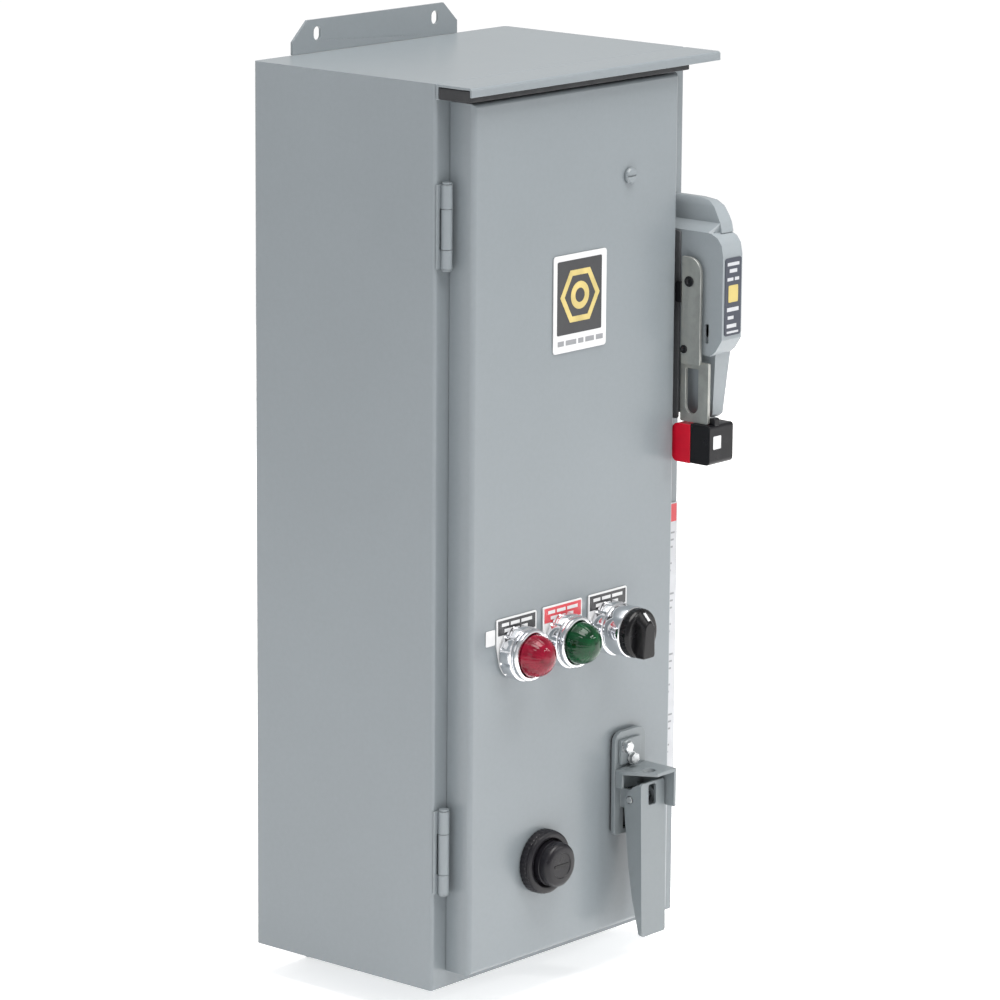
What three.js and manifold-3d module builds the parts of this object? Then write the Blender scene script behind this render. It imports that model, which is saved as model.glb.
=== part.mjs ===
// Combination magnetic motor starter in a wall-mounted sheet-steel enclosure.
// Millimetres, +Z up. Origin: centre of the enclosure's back face (the wall plane).
// +X is to the right of a person facing the door, +Y goes into the wall, the door faces -Y.
import * as THREE from 'three';
import * as BufferGeometryUtils from 'three/addons/utils/BufferGeometryUtils.js';
import { ConvexGeometry } from 'three/addons/geometries/ConvexGeometry.js';
import Module from 'manifold-3d';

const wasm = await Module();
wasm.setup();

// ---------------------------------------------------------------- driving dimensions
const BOX = { x: 142, depth: 180, z: 340, sheet: 2, bend: 3 };          // half width, depth, half height
const OPENING = { x0: -112, x1: 88, z: 312, lip: 1.5, lipFront: -188 }; // door opening in the front
const DOOR = { x0: -126.5, x1: 107, z0: -327, z1: 326, front: -203.5, back: -180.5, sheet: 2, bend: 4 };
const HOOD = { front: -214.5, lip: 7, sheet: 1.9 };
const FLANGE = { x0: -102, x1: 83, rise: 25, chamferX: 16, chamferZ: 15, slotX: [-75, 57], slotW: 7.5, slotH: 10.5, slotZ: 14.4 };
const HINGE = { x: -134.4, y: -184.6, r: 4.3, bore: 2.6, pin: 2.25, gap: 0.4 };
const HINGE_UPPER = [205.6, 219.7, 249.3, 267];                          // knuckle splits
const HINGE_LOWER = [-264.2, -249.6, -218.3, -201];
const UNIT = { z: -86.8, x: [-77, -24.5, 28], hole: 15.3, ringR: 20.5, ringFront: -222, bezelFront: -231.6, ringBack: -205.6 };
const RESET = { x: -46, z: -254.5, travel: 5.5 };
const DEFEAT = { x: 48.8, z: 255 };
const LATCH = { pinY: -221, pinZ: -222 };
const HANDLE = { y: -214, z: 168, crank: 12, throwDeg: 160 };            // operating handle shaft
const TOGGLE = { y: -128, x0: 25, x1: 41, swing: 22.5 };
const GAP = 0.3;

// ---------------------------------------------------------------- solid helpers
const toSolid = (geometry) => {
  const g = geometry.clone();
  g.deleteAttribute('normal');
  g.deleteAttribute('uv');
  const m = BufferGeometryUtils.mergeVertices(g, 1e-4);
  const make = (index) => new wasm.Manifold(new wasm.Mesh({
    numProp: 3,
    vertProperties: new Float32Array(m.attributes.position.array),
    triVerts: new Uint32Array(index),
  }));
  const index = Array.from(m.index.array);
  let s = make(index);
  if (s.volume() < 0) {
    const flipped = [];
    for (let i = 0; i < index.length; i += 3) flipped.push(index[i], index[i + 2], index[i + 1]);
    s = make(flipped);
  }
  return s;
};

// Extrusion of an outline along one axis. Outlines are (y,z) for x, (x,z) for y and (x,y) for z.
const prism = (axis, outline, a0, a1, holes = []) => {
  const order = axis === 'y' ? ([a, b]) => new THREE.Vector2(b, a) : ([a, b]) => new THREE.Vector2(a, b);
  const points = outline.map(order);
  if (THREE.ShapeUtils.area(points) < 0) points.reverse();
  const shape = new THREE.Shape(points);
  for (const h of holes) shape.holes.push(new THREE.Path(h.map(order)));
  const g = new THREE.ExtrudeGeometry(shape, { depth: a1 - a0, bevelEnabled: false, steps: 1 });
  const m = new THREE.Matrix4();
  if (axis === 'x') m.set(0, 0, 1, a0, 1, 0, 0, 0, 0, 1, 0, 0, 0, 0, 0, 1);
  else if (axis === 'y') m.set(0, 1, 0, 0, 0, 0, 1, a0, 1, 0, 0, 0, 0, 0, 0, 1);
  else m.set(1, 0, 0, 0, 0, 1, 0, 0, 0, 0, 1, a0, 0, 0, 0, 1);
  g.applyMatrix4(m);
  return toSolid(g);
};
const box = (x0, x1, y0, y1, z0, z1) => {
  const g = new THREE.BoxGeometry(x1 - x0, y1 - y0, z1 - z0);
  g.translate((x0 + x1) / 2, (y0 + y1) / 2, (z0 + z1) / 2);
  return toSolid(g);
};
const circle = (u, v, r, n = 24, start = 0.5) => Array.from({ length: n }, (_, i) => {
  const t = ((i + start) / n) * 2 * Math.PI;
  return [u + r * Math.cos(t), v + r * Math.sin(t)];
});
const rod = (axis, u, v, r, a0, a1, n = 24) => prism(axis, circle(u, v, r, n), a0, a1);
const tube = (axis, u, v, r, bore, a0, a1, n = 24) => prism(axis, circle(u, v, r, n), a0, a1, [circle(u, v, bore, n)]);
// Rounded rectangle; radii in the order (u0,v0) (u1,v0) (u1,v1) (u0,v1).
const roundRect = (u0, u1, v0, v1, radii, seg = 4) => {
  const r = Array.isArray(radii) ? radii : [radii, radii, radii, radii];
  const corners = [[u0, v0, 180], [u1, v0, 270], [u1, v1, 0], [u0, v1, 90]];
  const pts = [];
  corners.forEach(([u, v, a], i) => {
    const q = r[i];
    if (q <= 0) { pts.push([u, v]); return; }
    const cu = u + (u === u0 ? q : -q), cv = v + (v === v0 ? q : -q);
    for (let k = 0; k <= seg; k++) {
      const t = ((a + (90 * k) / seg) * Math.PI) / 180;
      pts.push([cu + q * Math.cos(t), cv + q * Math.sin(t)]);
    }
  });
  return pts;
};
const lathe = (profile, x, z, n = 24) => {
  const g = new THREE.LatheGeometry(profile.map(([r, y]) => new THREE.Vector2(r, y)), n);
  g.translate(x, 0, z);
  return toSolid(g);
};
const hull = (pts) => toSolid(new ConvexGeometry(pts.map((p) => new THREE.Vector3(...p))));
const join = (...s) => s.reduce((a, b) => a.add(b));
const cut = (a, ...s) => s.reduce((p, b) => p.subtract(b), a);
// Points (y,z) turned about a pivot so that the -Y side rises for a positive angle.
const turnYZ = (pts, py, pz, deg) => {
  const t = (deg * Math.PI) / 180, c = Math.cos(t), s = Math.sin(t);
  return pts.map(([y, z]) => [py + (y - py) * c + (z - pz) * s, pz - (y - py) * s + (z - pz) * c]);
};

const model = new THREE.Group();
const addTo = (group, name, shape, color, roughness = 0.5, metalness = 0) => {
  const data = shape.getMesh();
  const g = new THREE.BufferGeometry();
  g.setAttribute('position', new THREE.BufferAttribute(new Float32Array(data.vertProperties), 3));
  g.setIndex(Array.from(data.triVerts));
  g.computeVertexNormals();
  const mesh = new THREE.Mesh(g, new THREE.MeshStandardMaterial({ color, roughness, metalness }));
  mesh.name = name;
  group.add(mesh);
  return mesh;
};
const PAINT = '#8f9a9c', CHROME = '#d6d8da', BLACK = '#17181a', ZINC = '#c3c5c0', STEEL = '#84847c';

// ================================================================ fixed enclosure
const enclosure = new THREE.Group();
model.add(enclosure);

// Sheet-steel box: back, sides, top and bottom, with a flanged front and a gutter lip round the opening.
{
  const { x, depth, z, sheet, bend } = BOX;
  let shell = prism('z', roundRect(-x, x, -depth, 0, [bend, bend, bend, bend]), -z, z)
    .intersect(prism('x', roundRect(-depth, 0, -z, z, [1, 0, 0, 1], 2), -x, x));
  shell = cut(shell, box(-x + sheet, x - sheet, -depth + sheet, -sheet, -z + sheet, z - sheet));
  const lip = cut(
    box(OPENING.x0 - OPENING.lip, OPENING.x1 + OPENING.lip, OPENING.lipFront, -depth + 1, -OPENING.z - OPENING.lip, OPENING.z + OPENING.lip),
    box(OPENING.x0, OPENING.x1, OPENING.lipFront - 1, -depth + 4, -OPENING.z, OPENING.z),
  );
  shell = cut(shell.add(lip),
    box(OPENING.x0, OPENING.x1, OPENING.lipFront - 1, -depth + 4, -OPENING.z, OPENING.z),
    box(116.5, 124.5, -depth - 2, -depth + 4, 142, 194)); // slot for the yoke arm
  addTo(enclosure, 'enclosure_box', shell, PAINT, 0.45);
}

// Mounting flanges above and below the back, each with two vertical slots.
for (const [name, s] of [['upper_mounting_flange', 1], ['lower_mounting_flange', -1]]) {
  const z0 = BOX.z + GAP, z1 = BOX.z + FLANGE.rise;
  const outline = [[FLANGE.x0, z0], [FLANGE.x1, z0], [FLANGE.x1, z1 - FLANGE.chamferZ], [FLANGE.x1 - FLANGE.chamferX, z1],
    [FLANGE.x0 + FLANGE.chamferX, z1], [FLANGE.x0, z1 - FLANGE.chamferZ]].map(([a, b]) => [a, s * b]);
  const slots = FLANGE.slotX.map((cx) => roundRect(cx - FLANGE.slotW / 2, cx + FLANGE.slotW / 2,
    s * (BOX.z + FLANGE.slotZ) - FLANGE.slotH / 2, s * (BOX.z + FLANGE.slotZ) + FLANGE.slotH / 2, FLANGE.slotW / 2 - 0.01, 4));
  addTo(enclosure, name, prism('y', outline, -2, 0, slots), PAINT, 0.45);
}

// Drip hood: an inverted channel over the door top, open at both ends.
{
  const f = HOOD.front, b = -BOX.depth - GAP, t = HOOD.sheet, top = BOX.z;
  const outline = [[b, top], [f + 2, top], [f + 0.6, top - 0.6], [f, top - 2], [f, top - HOOD.lip], [f + t, top - HOOD.lip], [f + t, top - t],
    [b - t, top - t], [b - t, top - 11.4], [b, top - 11.4]];
  addTo(enclosure, 'drip_hood', prism('x', outline, -BOX.x, BOX.x), PAINT, 0.4);
}

// Box leaves and pins of the two hinges.
const hinge = (label, k) => {
  const { x, y, r, bore, pin, gap } = HINGE;
  const leafBack = -BOX.depth - GAP;
  const outerA = [k[0], k[1] - gap / 2], outerB = [k[2] + gap / 2, k[3]];
  let leaf = box(-141.3, x - r - 0.5, leafBack - 1.6, leafBack, k[0], k[3]);
  for (const [a, b] of [outerA, outerB]) {
    leaf = leaf.add(tube('z', x, y, r, bore, a, b, 20))
      .add(cut(box(x - r - 0.6, x, leafBack - 1.6, leafBack, a, b), rod('z', x, y, bore, a - 1, b + 1, 20)));
  }
  addTo(enclosure, `${label}_hinge_box_leaf`, leaf, PAINT, 0.45);
  const p = join(rod('z', x, y, pin, k[0] - 1.6, k[3] + 1.6, 16), rod('z', x, y, r - 0.6, k[0] - 1.6, k[0] - GAP, 16), rod('z', x, y, r - 0.6, k[3] + GAP, k[3] + 1.6, 16));
  addTo(enclosure, `${label}_hinge_pin`, p, PAINT, 0.45);
};
hinge('upper', HINGE_UPPER);
hinge('lower', HINGE_LOWER);

// Keeper for the door latch, on the inside of the gutter lip.
addTo(enclosure, 'latch_keeper', join(box(OPENING.x1 - 2.5, OPENING.x1 - GAP, -187, -181, -246, -206), box(57, OPENING.x1 - 1, -187, -184.8, -240, -228)), ZINC, 0.35, 0.8);

// ================================================================ inside the box
// Mounting panel: sheet with side flanges that stand on the back wall.
addTo(enclosure, 'mounting_panel', join(
  box(-105, 105, -16, -14, -290, 290), box(-105, -103, -15, -2.3, -290, 290), box(103, 105, -15, -2.3, -290, 290)), '#d8d9d6', 0.5, 0.1);

// Riser that lifts the circuit breaker to the operating depth.
addTo(enclosure, 'breaker_riser', join(
  box(-8, 74, -59.7, -57.7, 105, 230), box(-8, -6, -58, -16.3, 105, 230), box(72, 74, -58, -16.3, 105, 230)), ZINC, 0.4, 0.7);

// Moulded-case circuit breaker, with its toggle well.
{
  let body = join(box(-12, 78, -140, -60, 95, 241), box(-12, 78, -146, -139, 118, 218), box(14, 52, -150, -145, 138, 198));
  for (const cx of [3, 33, 63]) for (const [z0, z1] of [[94, 112], [224, 242]])
    body = cut(body, box(cx - 9, cx + 9, -141, -100, z0, z1));
  body = cut(body, box(TOGGLE.x0 - 1, TOGGLE.x1 + 1, -151, -118, 149, 187));
  addTo(enclosure, 'circuit_breaker_case', body, '#1c1d1f', 0.45);
}

// Contactor: base, coil, arc cover with the armature window.
addTo(enclosure, 'contactor_base', join(box(-80, 10, -62, -16.3, -186, -50), box(-70, 0, -62, -16.3, -190, -186)), '#26272a', 0.5);
addTo(enclosure, 'contactor_coil', cut(box(-60, -10, -90, -62.3, -148, -87), box(-43, -27, -91, -70, -126, -109)), '#7b2b22', 0.5);
{
  let cover = cut(box(-76, 6, -112, -62.3, -166, -69), box(-62, -8, -104, -62, -150, -85), box(-51, -19, -113, -100, -126.5, -108.5));
  for (const cx of [-65, -35, -5]) for (const [z0, z1] of [[-167, -156], [-80, -68]])
    cover = cut(cover, box(cx - 7, cx + 7, -113, -90, z0, z1));
  addTo(enclosure, 'contactor_arc_cover', cover, '#1a1b1d', 0.45);
}

// Overload relay with the bore for its reset plunger.
{
  let body = join(box(-80, 10, -96, -16.3, -288, -192.5), box(-74, 4, -105, -95, -280, -205));
  body = cut(body, rod('y', RESET.x, RESET.z, 5.5, -106, -84, 20), rod('y', -10, -235, 8, -106, -103, 20));
  for (const cx of [-65, -35, -5]) body = cut(body, box(cx - 8, cx + 8, -97, -60, -289, -282));
  addTo(enclosure, 'overload_relay_case', body, '#222326', 0.5);
}

// Control transformer: laminated core round a winding.
addTo(enclosure, 'transformer_core', cut(box(-98, -38, -62, -30, 0, 60), box(-88, -76, -63, -29, 10, 50), box(-60, -48, -63, -29, 10, 50))
  .add(box(-98, -38, -31, -16.3, 0, 3)).add(box(-98, -38, -31, -16.3, 57, 60)), '#55585a', 0.5, 0.5);
addTo(enclosure, 'transformer_winding', prism('z', roundRect(-87.7, -48.3, -72, -20, 3, 3), 10.3, 49.7, [roundRect(-76.3, -59.7, -62.3, -29.7, 0)]), '#8a4b22', 0.4);

// Terminal block and ground bar.
{
  let block = box(36, 62, -42, -16.3, -290, -160);
  for (let i = 0; i < 9; i++) block = cut(block, box(39, 59, -43, -30, -286.5 + i * 14.2, -276.2 + i * 14.2));
  addTo(enclosure, 'terminal_block', block, '#d9d6c8', 0.5);
}
{
  let bar = box(-96, -30, -32, -20, 262, 272);
  for (let i = 0; i < 5; i++) bar = cut(bar, rod('y', -89 + i * 13, 267, 2.6, -33, -26, 12));
  bar = join(bar, box(-94, -88, -21, -16.3, 263, 271), box(-38, -32, -21, -16.3, 263, 271));
  addTo(enclosure, 'ground_bar', bar, '#c8b273', 0.35, 0.9);
}

// Three power leads from the breaker's load side to the contactor.
const lead = (name, pts, color) => {
  const path = new THREE.CatmullRomCurve3(pts.map((p) => new THREE.Vector3(...p)), false, 'centripetal');
  const section = new THREE.Shape(circle(0, 0, 2.9, 8).map(([a, b]) => new THREE.Vector2(a, b)));
  addTo(enclosure, name, toSolid(new THREE.ExtrudeGeometry(section, { steps: 26, extrudePath: path, bevelEnabled: false })), color, 0.45);
};
lead('power_lead_left', [[3, -108, 111], [3, -108, 88], [0, -100, 60], [-20, -80, 25], [-50, -60, -18], [-65, -48, -36], [-65, -48, -49.6]], '#1d1d1f');
lead('power_lead_centre', [[33, -108, 111], [33, -108, 88], [30, -100, 60], [12, -80, 25], [-20, -60, -18], [-35, -48, -36], [-35, -48, -49.6]], '#1d1d1f');
lead('power_lead_right', [[63, -108, 111], [63, -108, 88], [60, -100, 60], [44, -80, 25], [12, -60, -18], [-5, -48, -36], [-5, -48, -49.6]], '#1d1d1f');

// Guide rails that carry the yoke arm behind the flange slot.
addTo(enclosure, 'yoke_guide', join(box(116, 118.6, -177.7, -166, 126, 210), box(122.4, 125, -177.7, -166, 126, 210),
  box(116, 125, -177.7, -166, 126, 131), box(116, 125, -177.7, -166, 205, 210)), ZINC, 0.4, 0.8);

// Cast housing of the flange-mounted operator, hollow towards the flange.
{
  const b = -BOX.depth - GAP, x0 = 115.5, x1 = 139;
  const side = [[b, 115], [-229.7, 111.5], [-235.4, 116.1], [-241, 125], [-241, 189.2], [-239.4, 197.5], [-235.5, 202.6], [-229.5, 205.4], [-225.3, 206], [b, 206]];
  // Shoulder that rises from the body to the hump, then the hump itself
  const shoulder = hull([[x0 + 0.2, b, 203], [x1, b, 203], [x0 + 0.2, -228, 203], [x1, -230, 203], [x0 + 0.6, b, 206], [x0 + 0.6, -226, 206],
    [125, b, 212.5], [125, -230.3, 212.5], [x1, b, 212.5], [x1, -230.3, 212.5]]);
  const rows = [[205, -232, 125, x1], [212, -230.5, 125, x1], [217, -228, 125, x1], [224, -223.5, 126, x1 - 0.6], [228, -217, 128.5, x1 - 1.6], [229.5, -206, 131, x1 - 3]];
  const hump = hull(rows.flatMap(([z, y, xa, xb]) => [[xa, b, z], [xb, b, z], [xa, y, z], [xb, y, z]]));
  const post = hull([[128, b, 61.5], [137.5, b, 61.5], [128, -222, 61.5], [137.5, -222, 61.5], [126.5, b, 64], [139, b, 64], [126.5, -224.5, 64], [139, -224.5, 64],
    [121, b, 117], [139, b, 117], [121, -231, 113], [139, -231, 113]]);
  let shell = join(prism('x', side, x0, x1), shoulder, hump, post);
  shell = cut(shell, prism('x', [[b + 1, 122], [-238.2, 127], [-238.2, 189], [-236, 196], [-230, 201], [b + 1, 202]], 117.2, 136.5),
    box(127.5, 136.5, -221, b + 1, 200, 222), box(130.5, 136.5, -220, b + 1, 68, 124),
    rod('x', HANDLE.y, HANDLE.z, 5.6, x0 - 1, 119, 20),
    box(x0 - 1, 119, -228.3, -224.7, 121, 136));
  addTo(enclosure, 'operator_housing', shell, PAINT, 0.45, 0.2);
}

// ================================================================ operating handle
const handle = new THREE.Group();
model.add(handle);
{
  addTo(handle, 'handle_lever', prism('x', roundRect(-225, -206.5, 104.5, 187, [1.5, 1.2, 1.2, 12], 6), 109, 111.8), STEEL, 0.5, 0.6);
  addTo(handle, 'padlock_plate', cut(join(prism('x', roundRect(-231.4, -204.4, 59.4, 106.5, [1.2, 1.2, 1.2, 1.2], 2), 112.1, 114.9), box(112.1, 114.9, -222, -208.5, 105, 122)),
    prism('x', roundRect(-221.7, -209.4, 66, 101, [6.1, 6.1, 1, 1], 4), 111, 116)), STEEL, 0.45, 0.7);
  addTo(handle, 'handle_grip', join(prism('x', roundRect(-236.3, -217.2, 28.5, 59.1, [3, 0, 0, 2], 3), 109, 137.5), box(115.2, 121, -236, -230, 58.5, 64.5)), BLACK, 0.4);
  addTo(handle, 'handle_grip_insert', prism('x', roundRect(-216.9, -199.3, 28, 57.8, [0, 4, 4, 0], 3), 109, 137.5), '#a51a2c', 0.4);
  const a = (80 * Math.PI) / 180;
  const py = HANDLE.y - HANDLE.crank * Math.cos(a), pz = HANDLE.z - HANDLE.crank * Math.sin(a);
  addTo(handle, 'handle_crank', join(rod('x', HANDLE.y, HANDLE.z, 5, 112.1, 118, 20), rod('x', HANDLE.y, HANDLE.z, 16.5, 117.5, 119.1, 24), rod('x', py, pz, 3, 118.8, 124.6, 16)), ZINC, 0.35, 0.8);
}

// Yoke: drive plate inside the housing, arm through the flange, and cross plate round the breaker toggle.
const yokeZ = HANDLE.z - HANDLE.crank * Math.sin((80 * Math.PI) / 180);
addTo(model, 'breaker_yoke', cut(
  join(box(119.4, 121.9, -233, -156.5, yokeZ - 10, yokeZ + 10), box(18, 121.9, -158, -155.2, yokeZ - 10, yokeZ + 10)),
  prism('x', roundRect(-230.6, -211.4, yokeZ - 5.5, yokeZ + 5.5, 2, 2), 118, 123),
  box(TOGGLE.x0 - 2, TOGGLE.x1 + 2, -159, -154, yokeZ - 6.4, yokeZ + 6.4)), ZINC, 0.35, 0.8);

// Breaker toggle, at rest swung down to off.
{
  const z = HANDLE.z;
  const bar = [[-168, z - 3.2], [-166.5, z - 4], [TOGGLE.y, z - 4], [TOGGLE.y, z + 4], [-166.5, z + 4], [-168, z + 3.2]];
  addTo(model, 'breaker_toggle', join(
    prism('x', turnYZ(bar, TOGGLE.y, z, -TOGGLE.swing), TOGGLE.x0, TOGGLE.x1),
    rod('x', TOGGLE.y, z, 6.5, TOGGLE.x0, TOGGLE.x1, 16)), '#101113', 0.5);
}

// Contactor armature and overload reset plunger.
addTo(model, 'contactor_armature', join(box(-50.4, -19.6, -120, -108, -126, -109), box(-50.4, -19.6, -109, -97, -126, -109)), '#3a3b3e', 0.5);
addTo(model, 'overload_plunger', rod('y', RESET.x, RESET.z, 5, -112, -98, 20), '#b3202b', 0.4);

// ================================================================ door
const door = new THREE.Group();
model.add(door);
{
  const { x0, x1, z0, z1, front, back, sheet, bend } = DOOR;
  const pan = (o, b, r) => prism('z', roundRect(x0 + o, x1 - o, front + o, b, [r, r, 0, 0], 5), z0 + o, z1 - o)
    .intersect(prism('x', roundRect(front + o, b, z0 + o, z1 - o, [r, 0, 0, r], 5), x0 + o, x1 - o));
  let sheetMetal = cut(pan(0, back, bend), pan(sheet, back + 5, bend - sheet));
  for (const cx of UNIT.x) sheetMetal = cut(sheetMetal, rod('y', cx, UNIT.z, UNIT.hole, front - 1, front + 3));
  sheetMetal = cut(sheetMetal, rod('y', RESET.x, RESET.z, 14.4, front - 1, front + 3),
    rod('y', DEFEAT.x, DEFEAT.z, 4, front - 1, front + 3, 16),
    box(44.5, 55.5, front - 1, front + 3, -248, -216.5));
  addTo(door, 'door_panel', sheetMetal, PAINT, 0.45);
  addTo(door, 'door_gasket', prism('y', roundRect(-118.5, 94.5, -319, 319, 0), front + sheet + GAP, OPENING.lipFront - 0.4, [roundRect(-106.5, 82.5, -307, 307, 0)]), '#2b2c2e', 0.8);
  // Door leaves of the hinges
  for (const [label, k] of [['upper', HINGE_UPPER], ['lower', HINGE_LOWER]]) {
    const { x, y, r, bore, gap } = HINGE;
    const a = k[1] + gap / 2, b = k[2] - gap / 2;
    const leafBack = back + GAP - 0.1;
    const leaf = join(box(x0 - 1.8, x0 - GAP, leafBack - 3.3, leafBack, k[0], k[3]),
      tube('z', x, y, r, bore, a, b, 20),
      cut(box(x, x0 - 1, leafBack - 1.6, leafBack, a, b), rod('z', x, y, bore, a - 1, b + 1, 20)));
    addTo(door, `${label}_hinge_door_leaf`, leaf, PAINT, 0.45);
  }
  // Plain rectangular nameplate
  addTo(door, 'nameplate', prism('y', roundRect(-38, 22.5, 131, 204, 2, 3), front - 1.4, front - GAP), '#e9e9e6', 0.4);
}

// 30 mm control units: legend plate, ring nut, body with threaded bushing, and lens or knob.
const legend = (cx) => {
  const z = UNIT.z, pts = [[cx - 22.5, z + 28], [cx + 22.5, z + 28], [cx + 22.5, z + 8]];
  for (let i = 0; i <= 12; i++) { const t = (-8 - (164 * i) / 12) * Math.PI / 180; pts.push([cx + 20 * Math.cos(t), z + 20 * Math.sin(t)]); }
  pts.push([cx - 22.5, z + 8]);
  return prism('y', pts, -205.3, -203.8, [circle(cx, z, 15.7)]);
};
const ringNut = (cx, front = UNIT.ringFront) => join(tube('y', cx, UNIT.z, UNIT.ringR, 15.6, -216, UNIT.ringBack, 28), tube('y', cx, UNIT.z, UNIT.ringR - 1, 15.6, front, -215.5, 28));
const unitBody = (cx, front = -219) => join(rod('y', cx, UNIT.z, 15, front, -200), prism('y', roundRect(cx - 20.5, cx + 20.5, UNIT.z - 24, UNIT.z + 24, 3, 2), -201.2, -150));
const lensProfile = [[0, -219.3], [15.2, -219.3], [15.2, -222.3], [15.8, -222.4], [15.5, -226.4], [13.9, -230.7], [10.6, -234.5], [6, -237.2], [0, -238.2]];
[['red_pilot', 0, '#8c1c30'], ['green_pilot', 1, '#0f5a2f']].forEach(([label, i, color]) => {
  const cx = UNIT.x[i];
  addTo(door, `${label}_legend_plate`, legend(cx), i ? '#c94a4a' : '#2a2b2e', 0.5);
  addTo(door, `${label}_ring_nut`, ringNut(cx), CHROME, 0.2, 1);
  addTo(door, `${label}_body`, unitBody(cx), '#3b3c3f', 0.5);
  addTo(door, `${label}_lens`, lathe(lensProfile, cx, UNIT.z), color, 0.2);
});
{
  const cx = UNIT.x[2];
  addTo(door, 'selector_legend_plate', legend(cx), '#2a2b2e', 0.5);
  addTo(door, 'selector_ring_nut', ringNut(cx, UNIT.bezelFront), CHROME, 0.2, 1);
  addTo(door, 'selector_contact_block', cut(unitBody(cx, -231.3), rod('y', cx, UNIT.z, 7.4, -232, -172, 20)), '#3b3c3f', 0.5);
  addTo(model, 'selector_knob', join(
    lathe([[0, -231.9], [18.6, -231.9], [19, -232.6], [19, -236.6], [17.4, -239.4], [0, -239.4]], cx, UNIT.z),
    hull([...circle(cx, UNIT.z + 10.5, 7.5, 10).map(([a, b]) => [a, -239, b]), ...circle(cx, UNIT.z - 10.5, 7.5, 10).map(([a, b]) => [a, -239, b]),
      ...circle(cx, UNIT.z + 4, 5.6, 10).map(([a, b]) => [a, -246.8, b]), ...circle(cx, UNIT.z - 11.8, 6.2, 10).map(([a, b]) => [a, -246, b])]),
    rod('y', cx, UNIT.z, 6.8, -233, -176, 20)), BLACK, 0.35);
}

// Reset button with its bezel, return spring and long stem.
{
  const { x, z } = RESET;
  addTo(door, 'reset_bezel', join(
    tube('y', x, z, 24.5, 18, -213.5, -203.8, 28), tube('y', x, z, 19, 8, -205.3, -203.8, 28), tube('y', x, z, 14, 8, -204.5, -184, 24)), BLACK, 0.4);
  // Cupped button head on a long stem that reaches the overload relay
  addTo(model, 'reset_button', join(
    lathe([[0, -225.2], [14.5, -224.8], [16.4, -223.6], [17, -221.6], [17, -211.4], [13.4, -211.4], [13.4, -221.8], [0, -221.8]], x, z),
    rod('y', x, z, 4, -222.6, -112.6, 16)), BLACK, 0.35);
  // Helical return spring between the bezel floor and the roof of the button
  const coil = [], turns = 4, y0 = -206.6, y1 = -220.5;
  for (let i = 0; i <= 40; i++) { const t = (i / 40) * turns * 2 * Math.PI; coil.push(new THREE.Vector3(x + 10.4 * Math.cos(t), y0 + (y1 - y0) * (i / 40), z + 10.4 * Math.sin(t))); }
  const wire = new THREE.Shape(circle(0, 0, 0.8, 6).map(([a, b]) => new THREE.Vector2(a, b)));
  addTo(model, 'reset_spring', toSolid(new THREE.ExtrudeGeometry(wire, { steps: 44, extrudePath: new THREE.CatmullRomCurve3(coil), bevelEnabled: false })), '#c9ccce', 0.3, 0.9);
}

// Interlock defeat screw through the door.
addTo(model, 'defeat_screw', join(
  cut(lathe([[0, -203.9], [6, -203.9], [6, -205.6], [5, -206.8], [0, -207.2]], DEFEAT.x, DEFEAT.z, 20), box(DEFEAT.x - 7, DEFEAT.x + 7, -208, -206, DEFEAT.z - 0.7, DEFEAT.z + 0.7)),
  rod('y', DEFEAT.x, DEFEAT.z, 3.6, -205, -186, 16), box(DEFEAT.x - 3, DEFEAT.x + 14, -189, -186, DEFEAT.z - 4, DEFEAT.z + 4)), ZINC, 0.4, 0.8);

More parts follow.
